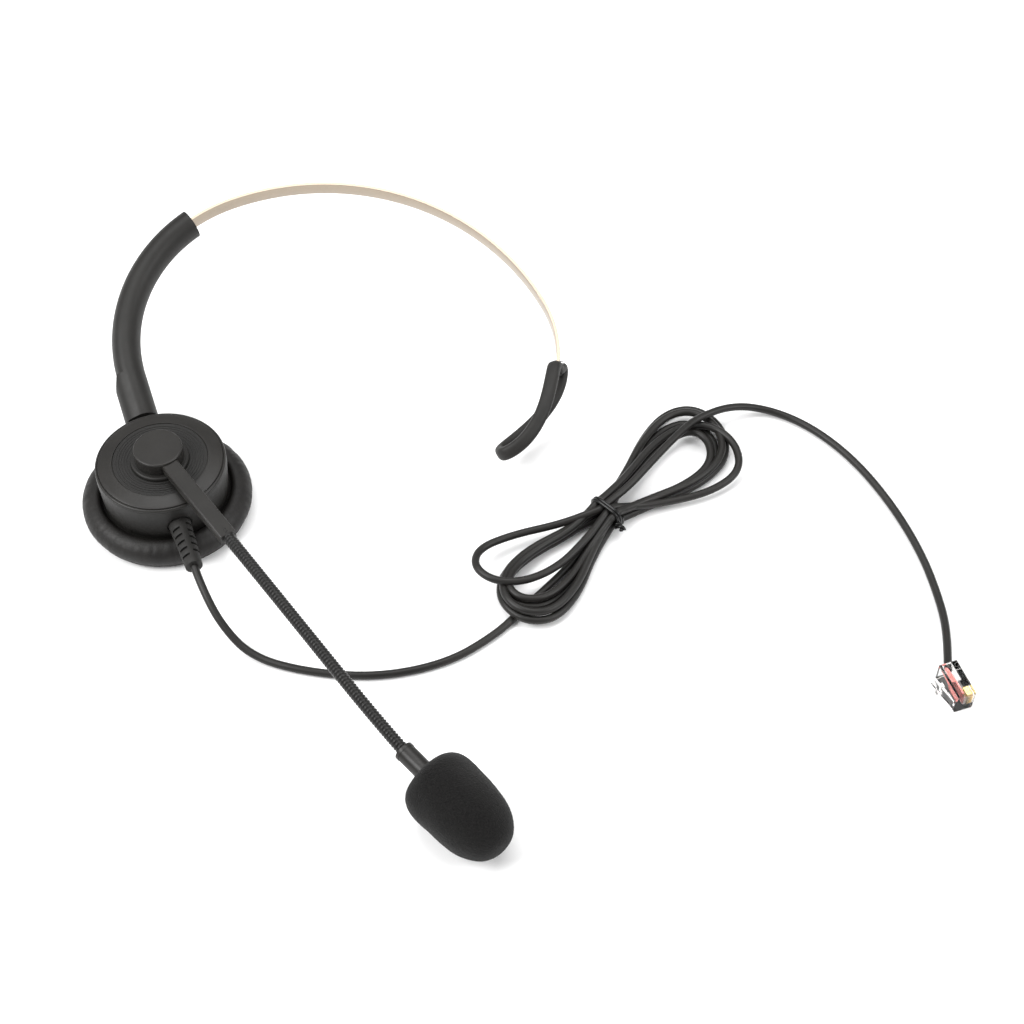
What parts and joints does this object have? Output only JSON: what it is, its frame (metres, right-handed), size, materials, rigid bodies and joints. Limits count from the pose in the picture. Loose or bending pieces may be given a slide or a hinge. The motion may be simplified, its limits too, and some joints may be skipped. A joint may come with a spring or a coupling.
{
  "type": "office headset",
  "caption": "Single-ear office telephone headset with a steel headband, a temple pad, a gooseneck microphone boom and a tied cord with a modular plug.",
  "frame": {"origin": "centre of the ear opening, on the cushion's contact face, which lies on the table", "axes": "+Z out of the cup's outer face, +Y towards the headband arm's side, +X towards the temple pad's side"},
  "size_m": [0.2767, 0.245, 0.0437],
  "materials": {
    "cup_plastic": "fine matte",
    "trim_plastic": "turned grooves",
    "cap_plastic": "satin",
    "leatherette": "soft grain",
    "foam": "open cell foam",
    "cloth": "fine weave",
    "rubber": "matte",
    "cord_jacket": "satin",
    "band_steel": "satin champagne",
    "steel": "plain",
    "neck_metal": "black coil",
    "tie_wire": "coated wire",
    "clear_plug": "clear",
    "gold": "plated",
    "wire_red": "insulation",
    "board": "solder mask",
    "film": "clear film",
    "magnet": "zinc",
    "copper": "enamelled"
  },
  "bodies": {
    "ear_cup": {"ear_cushion": "leatherette", "cushion_plate": "cup_plastic", "cup_screws": "steel", "ear_scrim": "cloth", "driver_frame": "cup_plastic", "driver_diaphragm": "film", "driver_magnet": "magnet", "voice_coil": "copper", "terminal_board": "board", "cup_housing": "cup_plastic", "cup_cap": "cap_plastic", "trim_disc": "trim_plastic", "hub_collar": "cup_plastic", "pivot_washer": "steel", "strain_relief": "rubber", "cable_clamp": "cup_plastic", "hinge_pin": "steel", "cord_to_hank": "cord_jacket", "cord_hank": "cord_jacket", "hank_tie": "tie_wire", "cord_to_plug": "cord_jacket", "plug_body": "clear_plug", "plug_contacts": "gold", "plug_wires": "wire_red"},
    "latch": {"plug_latch": "clear_plug"},
    "swivel": {"swivel_block": "cup_plastic", "swivel_clip": "steel"},
    "arm": {"arm_shell_upper": "cup_plastic", "arm_shell_lower": "cup_plastic", "arm_screws": "steel", "arm_detent_spring": "steel"},
    "headband": {"headband_strip": "band_steel", "strip_stop": "cup_plastic", "temple_pad": "rubber", "pad_rivet": "steel"},
    "boom": {"boom_hub": "cap_plastic", "pivot_screw": "steel", "boom_sleeve": "cap_plastic", "gooseneck_lower": "neck_metal"},
    "mic": {"gooseneck_upper": "neck_metal", "mic_housing": "cap_plastic", "mic_capsule": "steel", "mic_grille": "cup_plastic", "windscreen": "foam"}
  },
  "joints": [
    {"name": "cup_tilt", "type": "hinge", "parent": "ear_cup", "child": "swivel", "pos_m": [-0.00809, 0.02223, 0.01299], "axis": [0.9397, 0.342, 0], "range_deg": [-8, 30]},
    {"name": "cup_swivel", "type": "hinge", "parent": "swivel", "child": "arm", "pos_m": [-0.00809, 0.02223, 0.01299], "axis": [-0.3272, 0.8987, 0.292], "range_deg": [-15, 95]},
    {"name": "band_adjust", "type": "hinge", "parent": "arm", "child": "headband", "pos_m": [0.03505, 0.05546, 0.02379], "axis": [0, -0.309, 0.9511], "range_deg": [-12, 18]},
    {"name": "boom_rotate", "type": "hinge", "parent": "ear_cup", "child": "boom", "pos_m": [0, 0, 0.02435], "axis": [0, 0, 1], "range_deg": [-150, 20]},
    {"name": "boom_flex", "type": "hinge", "parent": "boom", "child": "mic", "pos_m": [0.0545, -0.0712, 0.0203], "axis": [-0.7716, -0.6361, 0], "range_deg": [-30, 35]},
    {"name": "latch_press", "type": "hinge", "parent": "ear_cup", "child": "latch", "pos_m": [0.24286, -0.0797, 0.00382], "axis": [0, 0, 1], "range_deg": [-8, 0], "stiffness_Nm_per_rad": 0.01}
  ]
}
